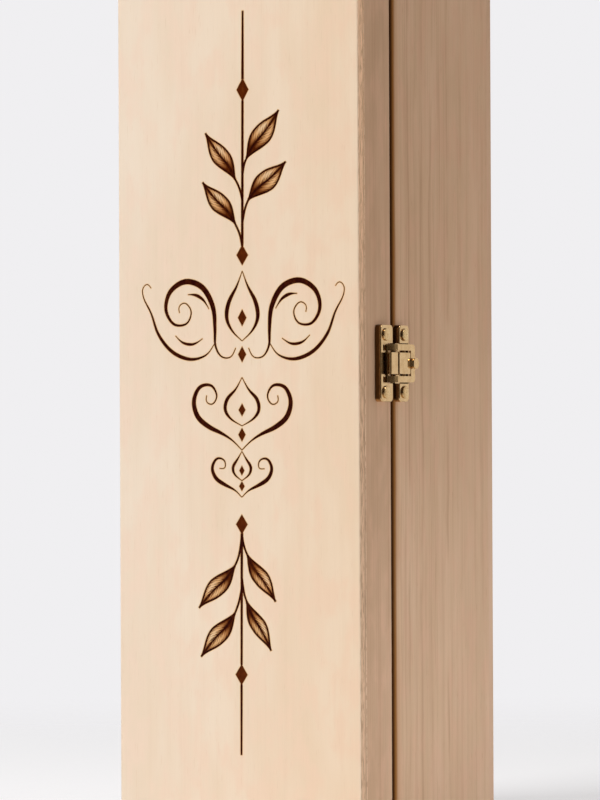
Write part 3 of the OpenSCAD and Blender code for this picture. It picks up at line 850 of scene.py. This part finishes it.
class Leaf:
    """A pointed leaf, with places t along it, 0 to 1 from its base, and s across it, -1 to 1"""

    def __init__(self, base, tip, half_width):
        self.base = base
        self.half_width = half_width
        self.length = math.dist(base, tip)
        self.along_x = (tip[0] - base[0]) / self.length
        self.along_z = (tip[1] - base[1]) / self.length
        side = 1.0 if (tip[0] - base[0]) * (tip[1] - base[1]) > 0 else -1.0
        self.across_x = -self.along_z * side
        self.across_z = self.along_x * side

    def width(self, t):
        """Half the leaf's width, which tapers more towards the tip than towards the base"""
        t = min(max(t, 0.0), 1.0)
        power = 1.38 - 0.1 * t if t < 0.5 else 1.33 + 0.7 * (t - 0.5)
        return self.half_width * max(math.sin(math.pi * t ** 0.95), 0.0) ** power

    def bend(self, t):
        """How far the midrib lies beside the straight line from base to tip"""
        share = 0.62 if t < 0.5 else 0.25
        return share * math.sin(2 * math.pi * t)

    def point(self, t, s):
        across = self.bend(t) + s * self.width(t)
        return (self.base[0] + self.along_x * t * self.length + self.across_x * across,
                self.base[1] + self.along_z * t * self.length + self.across_z * across)

    def place(self, x, z):
        """The t and s of a point, s without end beyond the leaf's ends"""
        dx = x - self.base[0]
        dz = z - self.base[1]
        t = (dx * self.along_x + dz * self.along_z) / self.length
        width = self.width(t)
        if t <= 0.0 or t >= 1.0 or width < 0.01:
            return t, math.inf
        return t, (dx * self.across_x + dz * self.across_z - self.bend(t)) / width

    def strokes(self):
        """The outlines of its two edges, midrib, dark base and dark tip"""
        ts = [i / LEAF_STEPS for i in range(LEAF_STEPS + 1)]
        shapes = []
        for s in (-1.0, 1.0):
            path = [self.point(t, s) for t in ts]
            widths = [0.84 - 0.12 * math.sin(math.pi * t) for t in ts]
            shapes.append(stroke(path, widths))
        rib = [t * 0.93 for t in ts]
        shapes.append(stroke([self.point(t, 0.0) for t in rib], [0.85 * (1 - t) + 0.32 for t in rib]))
        shapes.append(self.wedge(0.0, 0.13))
        shapes.append(self.wedge(1.0, -0.13))
        return shapes

    def wedge(self, start, run):
        """A filled point at one end of the leaf"""
        steps = 8
        near = []
        far = []
        for i in range(1, steps):
            t = start + run * i / steps
            s = 0.98 * (1 - i / steps) ** 0.6
            near.append(self.point(t, s))
            far.append(self.point(t, -s))
        return [self.point(start, 0.0)] + near + [self.point(start + run, 0.0)] + far[::-1]

    def hatching(self):
        """Fine tapered lines that fan out from the midrib and in from the edges"""
        shapes = []
        count = 21
        for i in range(count):
            t = 0.07 + 0.78 * i / (count - 1)
            uneven = 0.5 + 0.5 * math.sin(i * 2.4)
            reach = 0.40 + 0.22 * uneven
            for side in (-1.0, 1.0):
                shapes.append(self.thin_line((t, side * 0.04), (t + 0.13, side * reach), 0.33))
                inner = 0.52 + 0.16 * (1 - uneven)
                shapes.append(self.thin_line((t + 0.13, side * 0.96), (t + 0.03, side * inner), 0.30))
        return shapes

    def thin_line(self, start, end, width):
        """A line that tapers to nothing, between two places given as t and s"""
        path = []
        for i in range(4):
            f = i / 3
            t = start[0] + (end[0] - start[0]) * f
            s = start[1] + (end[1] - start[1]) * f ** 0.9
            path.append(self.point(min(t, 0.99), s))
        return stroke(path, [width * (1 - i / 3) + 0.03 for i in range(4)])

    def tone(self, x, z):
        """How brown the wood is at a point inside the leaf"""
        t, s = self.place(x, z)
        if abs(s) > 1.0:
            return 0.0
        low_half = 0.10 if s * self.across_z < 0 else 0.0
        by_rib = 0.58 * math.exp(-abs(s) / 0.16)
        by_edge = 0.52 * math.exp(-(1 - abs(s)) / 0.17)
        by_base = 1.02 * math.exp(-(t / 0.36) ** 2)
        by_tip = 0.96 * math.exp(-((1 - t) / 0.23) ** 2)
        return min(0.97, 0.04 + low_half + by_rib + by_edge + by_base + by_tip)


# Leaves: base, tip and half width, as places beside the engraving's axis and up the lid
LEAVES = (
    ((1.9, 266.6), (16.6, 285.3), 4.0),
    ((-3.4, 258.5), (-17.2, 277.0), 3.6),
    ((2.8, 250.2), (19.9, 264.9), 4.0),
    ((-3.4, 241.0), (-18.5, 257.5), 3.6),
    ((2.6, 109.6), (15.6, 91.4), 3.2),
    ((-3.2, 105.2), (-19.8, 88.2), 3.6),
    ((2.3, 91.2), (13.6, 72.0), 3.1),
    ((-3.1, 86.5), (-18.8, 68.8), 3.6),
)

# Side stems: their further points, from their leaf's base to the main stem
STEMS = (
    ((0.8, 264.4), (0.1, 260.5)),
    ((-1.8, 255.8), (-0.5, 252.4), (0.0, 249.5)),
    ((1.6, 247.7), (0.7, 244.6), (0.1, 241.4)),
    ((-1.9, 238.2), (-0.7, 235.2), (0.0, 231.5)),
    ((1.4, 112.0), (0.5, 115.0), (0.1, 118.5)),
    ((-1.7, 108.2), (-0.6, 112.6), (0.0, 117.5)),
    ((1.3, 93.6), (0.6, 96.8), (0.1, 100.2)),
    ((-1.9, 89.2), (-0.8, 92.6), (0.0, 96.4)),
)

# Height, half height and half width of the diamonds on the stem
DIAMONDS = (
    (293.8, 4.7, 2.8),
    (228.3, 4.1, 2.7),
    (121.7, 4.0, 2.7),
    (62.2, 4.2, 2.8),
)

# The main stem in runs between the diamonds: two heights and two widths
STEM_RUNS = (
    (325.1, 298.0, 0.85, 1.2),
    (289.6, 232.0, 1.1, 1.18),
    (118.0, 66.0, 1.18, 1.0),
    (58.4, 30.4, 1.05, 0.85),
)

# Pen strokes of the flourish, for the right half: height of the row's middle, thin and thick
# widths, where along it is thickest, and points from the axis and the row's middle
SCROLLS = (
    (203.5, 0.35, 2.3, 0.42, (
        (3.0, -12.0), (5.2, -15.6), (9.6, -15.4), (12.4, -11.0), (12.6, -4.0), (13.6, 4.5),
        (18.5, 12.2), (26.5, 14.6), (33.6, 10.6), (35.6, 3.4), (31.8, -2.4), (25.8, -2.2),
        (23.6, 2.6), (26.6, 6.2), (29.6, 4.6), (29.2, 2.2))),
    (203.5, 0.3, 1.5, 0.35, (
        (12.4, -9.5), (16.5, -14.6), (24.0, -16.4), (32.5, -13.4), (39.0, -6.5), (42.5, 2.0),
        (46.0, 8.0), (46.6, 12.0), (44.4, 14.0), (42.6, 12.2))),
    (203.5, 0.3, 1.8, 0.5, (
        (0.0, 18.5), (2.6, 12.4), (6.2, 6.2), (7.2, 0.0), (4.6, -5.2), (0.0, -9.2))),
    (203.5, 0.3, 1.3, 0.6, ((15.4, 3.6), (18.0, 7.2), (21.6, 9.2), (25.2, 9.4))),
    (203.5, 0.3, 1.1, 0.5, ((18.4, -8.2), (22.6, -10.4), (27.6, -9.8), (31.0, -7.0))),
    (165.5, 0.35, 2.1, 0.4, (
        (0.0, -14.4), (4.4, -10.6), (9.4, -7.8), (15.4, -5.2), (20.6, -1.2), (22.4, 5.0),
        (19.6, 10.6), (14.2, 11.2), (11.6, 7.0), (13.8, 3.6), (16.8, 4.8), (16.4, 7.2))),
    (165.5, 0.3, 1.5, 0.5, (
        (0.0, 14.4), (3.0, 9.6), (6.9, 5.8), (7.8, 1.4), (5.0, -2.2), (0.0, -4.8))),
    (142.0, 0.3, 1.6, 0.4, (
        (0.0, -9.6), (3.2, -6.8), (7.6, -4.8), (12.0, -2.2), (13.8, 2.0), (11.6, 5.8),
        (8.0, 5.0), (7.8, 1.8), (10.4, 1.8))),
    (142.0, 0.3, 1.2, 0.5, ((0.0, 8.6), (2.2, 5.2), (4.2, 2.4), (3.4, -0.6), (0.0, -3.0))),
)

# Height, half height and half width of the flourish's own diamonds
FLOURISH_DIAMONDS = (
    (203.5, 3.4, 2.0),
    (189.0, 3.2, 1.9),
    (167.0, 2.6, 1.6),
    (157.2, 2.8, 1.7),
    (143.0, 2.0, 1.2),
    (136.8, 2.0, 1.3),
)


def ornament():
    """The leaves, and the outlines of all the engraved shapes with their depth level"""
    leaves = [Leaf(*facts) for facts in LEAVES]
    shapes = []
    for leaf in leaves:
        shapes += [(outline, STROKE) for outline in leaf.strokes()]
        shapes += [(outline, HATCH) for outline in leaf.hatching()]
    for leaf, points in zip(leaves, STEMS):
        path = spline((leaf.base,) + points)
        widths = [0.86 + 0.18 * i / (len(path) - 1) for i in range(len(path))]
        shapes.append((stroke(path, widths), STROKE))
    for z0, z1, wide0, wide1 in STEM_RUNS:
        shapes.append((straight((0.0, z0), (0.0, z1), wide0, wide1), STROKE))
    for facts in DIAMONDS + FLOURISH_DIAMONDS:
        shapes.append((diamond(*facts), DIAMOND))
    for z0, thin, thick, peak, points in SCROLLS:
        for side in (1, -1):
            path = spline([(side * x, z0 + z) for x, z in points])
            shapes.append((swelled(path, thin, thick, peak), STROKE))
    return leaves, shapes


def on_lid(point):
    """A point beside the engraving's axis as x and z on the lid"""
    tilt = math.radians(AXIS_TILT)
    x, z = point
    rise = z - AXIS_Z
    return (AXIS_X + x * math.cos(tilt) + rise * math.sin(tilt),
            AXIS_Z - x * math.sin(tilt) + rise * math.cos(tilt))


def off_lid(x, z):
    """The reverse of on_lid"""
    tilt = math.radians(AXIS_TILT)
    dx = x - AXIS_X
    dz = z - AXIS_Z
    return (dx * math.cos(tilt) - dz * math.sin(tilt), AXIS_Z + dx * math.sin(tilt) + dz * math.cos(tilt))


def signed_area(points):
    """The area inside an outline, positive where it runs anticlockwise"""
    total = 0.0
    for (ax, az), (bx, bz) in zip(points, points[1:] + points[:1]):
        total += ax * bz - bx * az
    return total / 2


def ring_points(outline, reach):
    """Points just outside an outline that runs anticlockwise, also round its corners"""
    made = []
    sharp = 0.35
    count = len(outline)
    for i, (x, z) in enumerate(outline):
        before = unit(outline[i - 1], outline[i])
        after = unit(outline[i], outline[(i + 1) % count])
        turns = [before, after]
        if before[0] * after[1] - before[1] * after[0] > sharp:
            turns.append(unit((0.0, 0.0), (before[0] + after[0], before[1] + after[1])))
        made += [(x + dz * reach, z - dx * reach) for dx, dz in turns]
    return made


def unit(a, b):
    """The direction from a to b"""
    span = max(math.dist(a, b), 1e-6)
    return ((b[0] - a[0]) / span, (b[1] - a[1]) / span)


def triangulate(border, leaves, shapes):
    """The engraved face's points, its triangles' corners, and the depth level of each triangle"""
    points = [Vector(point) for point in border]
    edges = [(i, (i + 1) % len(border)) for i in range(len(border))]
    faces = []
    levels = []
    rings = []
    for outline, level in shapes:
        placed = [on_lid(point) for point in outline]
        if signed_area(placed) < 0:
            placed.reverse()
        start = len(points)
        points += [Vector(point) for point in placed]
        faces.append(list(range(start, len(points))))
        levels.append(level)
        if level != HATCH:
            rings += ring_points(finer(placed), HALO_REACH)
    for leaf in leaves:
        rings += leaf_points(leaf)
    points += [Vector(point) for point in rings]
    made = geometry.delaunay_2d_cdt(points, edges, faces, ALL_TRIANGLES, SAME_POINT, True)
    places, _, corners, _, _, sources = made
    deepest = [max((levels[k] for k in found), default=0) for found in sources]
    return [tuple(place) for place in places], corners, deepest


def leaf_points(leaf):
    """Points inside a leaf, close enough together to carry its browning"""
    made = []
    for i in range(2, LEAF_ROWS - 1):
        for j in range(1 - LEAF_COLUMNS, LEAF_COLUMNS):
            made.append(on_lid(leaf.point(i / LEAF_ROWS, j / LEAF_COLUMNS)))
    return made


def heat_finder(leaves, points, corners, levels):
    """A function that gives the scorch value of a place on the clean surface"""
    marks = set()
    for triangle, level in zip(corners, levels):
        if level > HATCH:
            marks.update(triangle)
    tree = kdtree.KDTree(len(marks))
    for k in marks:
        tree.insert((points[k][0], points[k][1], 0.0), k)
    tree.balance()

    def heat(x, z):
        near = tree.find((x, z, 0.0))[2]
        if near > HEAT_REACH:
            return 0.0
        halo = HALO_TONE if near < 0.5 * HALO_REACH else 0.0
        place = off_lid(x, z)
        inside = max(leaf.tone(*place) for leaf in leaves)
        return min(HEAT_LIMIT, max(halo, inside))
    return heat


def engraved_panel(node, material):
    """The lid's front panel with the ornament cut into its face"""
    work = clean_copy(node)
    break_edges(work, PANEL_EDGE, 2)
    front = max(work.faces, key=lambda face: -face.normal.y * face.calc_area())
    front_y = front.calc_center_median().y
    border = [(vert.co.x / MM, vert.co.z / MM) for vert in front.verts]
    if signed_area(border) < 0:
        border.reverse()
    bmesh.ops.delete(work, geom=[front], context="FACES_ONLY")
    leaves, shapes = ornament()
    points, corners, levels = triangulate(border, leaves, shapes)
    carve(work, front_y, points, corners, levels, heat_finder(leaves, points, corners, levels))
    rim = [vert for vert in work.verts if vert.is_boundary]
    bmesh.ops.remove_doubles(work, verts=rim, dist=WELD)
    for face in work.faces:
        face.smooth = False
    show_piece(node, new_mesh(node + "_look", work), material)


def carve(work, front_y, points, corners, levels, heat):
    """Adds the engraved face: its triangles, each at the depth of its level, and the walls between them"""
    layer = work.verts.layers.float.new("scorch")
    made = {}

    def vertex(k, level):
        if (k, level) not in made:
            x, z = points[k]
            vert = work.verts.new((x * MM, front_y + LEVELS[level] * MM, z * MM))
            vert[layer] = LEVEL_TONES[level] if level else heat(x, z)
            made[(k, level)] = vert
        return made[(k, level)]

    sides = {}
    for triangle, level in zip(corners, levels):
        work.faces.new([vertex(k, level) for k in triangle])
        for a, b in zip(triangle, triangle[1:] + triangle[:1]):
            sides[(a, b)] = level
    for (a, b), level in sides.items():
        other = sides.get((b, a), level)
        if other < level:
            work.faces.new([vertex(b, level), vertex(a, level), vertex(a, other), vertex(b, other)])


# Colours of the boards, and how strong their blotches, streaks, bands, fibres and flecks are
SIDE_WOOD = {
    "pale": (0.635, 0.423, 0.282, 1.0), "deep": (0.565, 0.368, 0.233, 1.0),
    "line": (0.37, 0.20, 0.105, 1.0), "blotch": (0.62, 0.375, 0.25, 1.0),
    "blotches": 0.55, "streaks": 0.24, "bands": 0.30, "fibre": 0.06, "flecks": 0.30, "calm_y": 18.0,
}
LID_WOOD = SIDE_WOOD | {"pale": (0.575, 0.37, 0.24, 1.0), "deep": (0.50, 0.315, 0.195, 1.0)}
FACE_WOOD = {
    "pale": (0.815, 0.665, 0.515, 1.0), "deep": (0.785, 0.615, 0.455, 1.0),
    "line": (0.66, 0.46, 0.30, 1.0), "blotch": (0.815, 0.62, 0.47, 1.0),
    "blotches": 0.9, "streaks": 0.06, "bands": 0.08, "fibre": 0.014, "flecks": 0.24, "calm_y": -90.0,
    "cool_side": (1.0, 1.03, 1.07, 1.0), "warm_side": (0.995, 0.96, 0.917, 1.0),
}
BACK_WOOD = {
    "pale": (0.63, 0.42, 0.285, 1.0), "deep": (0.56, 0.36, 0.235, 1.0),
    "line": (0.40, 0.23, 0.13, 1.0), "blotch": (0.61, 0.385, 0.265, 1.0),
    "blotches": 0.5, "streaks": 0.3, "bands": 0.3, "fibre": 0.05, "flecks": 0.35, "calm_y": 0.0,
}

# Growth lines of the box's right side: place from front to back in millimetres, how wide they
# fade before and after it, and strength
RIGHT_SIDE_LINES = (
    (-20.5, 0.8, 0.5, 0.20),
    (-17.2, 0.9, 0.5, 0.30),
    (-13.9, 1.4, 0.7, 0.42),
    (-8.5, 1.0, 0.5, 0.22),
    (-3.2, 1.9, 0.8, 0.50),
    (4.2, 1.2, 0.6, 0.40),
    (7.2, 0.9, 0.5, 0.30),
    (17.6, 2.0, 0.8, 0.50),
    (29.0, 2.0, 1.0, 0.24),
    (47.5, 2.5, 1.0, 0.22),
)


def dress_case():
    boards = (("left_side", "Z"), ("right_side", "Z"), ("top_end", "X"), ("bottom_end", "X"))
    seed = 0
    for case, look in (("box", SIDE_WOOD), ("lid", LID_WOOD)):
        for board, grain in boards:
            seed += 1
            node = case + "_" + board
            lines = RIGHT_SIDE_LINES if node == "box_right_side" else None
            wood = make_wood(node + "_wood", look, grain, seed, lines, rim=case == "box")
            refined(node, wood, BOARD_EDGE)
    refined("box_back_panel", make_wood("back_panel_wood", BACK_WOOD, seed=9), BOARD_EDGE)
    front = make_wood("front_panel_wood", FACE_WOOD, seed=10, layers=True, burnt=True)
    engraved_panel("lid_front_panel", front)


def dress_brass():
    clasp = make_brass("clasp_brass_look")
    hinge = make_brass("hinge_brass_look", roughness=0.28)
    # The nails' rims get tarnish and painted dark reflection
    nail = make_brass("nail_brass_look", NAIL_BRASS, roughness=0.19, tarnish_and_shade_heights=(3.0, 3.8))
    pressed_plate("latch_catch_plate", "latch_catch_nails", clasp)
    pressed_plate("latch_base_plate", "latch_base_nails", clasp)
    refined("latch_loop", clasp, LEVER_EDGE, 4)
    refined("latch_lever", clasp, LEVER_EDGE, 4, lean_neck)
    for node in ("latch_lever_pin", "latch_loop_pin"):
        refined(node, clasp, CLASP_PIN_EDGE)
    for place in ("upper_hinge", "lower_hinge"):
        refined(place + "_box_leaf", hinge, HINGE_EDGE)
        refined(place + "_lid_leaf", hinge, HINGE_EDGE)
        refined(place + "_pin", hinge, HINGE_PIN_EDGE)
        domed_nails(place + "_box_nails", nail, HINGE_NAIL)
        domed_nails(place + "_lid_nails", nail, HINGE_NAIL)
    domed_nails("latch_catch_nails", nail, CLASP_NAIL)
    domed_nails("latch_base_nails", nail, CLASP_NAIL)


def light_stage():
    warm = (1.0, 0.965, 0.92)
    cool = (0.80, 1.04, 1.27)
    low_on_side = (0.055, 0.0, 0.045)
    clasp = (0.057, -0.03, 0.185)
    soft_light("key", (-0.58, -1.55, 1.20), BOX_MIDDLE, size=(1.05, 0.85), power=37.3)
    soft_light("side", (1.60, 0.10, 0.15), BOX_MIDDLE, size=(0.8, 0.25), power=7.9, tone=warm)
    soft_light("low_side", (0.30, 0.02, 0.040), low_on_side, size=(0.4, 0.06), power=0.054, tone=cool,
               spread=80.0)
    soft_light("glint", (0.54, 0.04, 0.81), clasp, size=(0.20, 0.20), power=1.8, glint=True)


def write_sizes():
    for label, (low, high) in (("loaded", FIRST_BOUNDS), ("finished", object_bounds())):
        list(low)
        list(high)


bpy.context.scene.view_settings.view_transform = "Standard"
place_camera()
make_world()
make_floor()
light_stage()
dress_case()
dress_brass()
write_sizes()
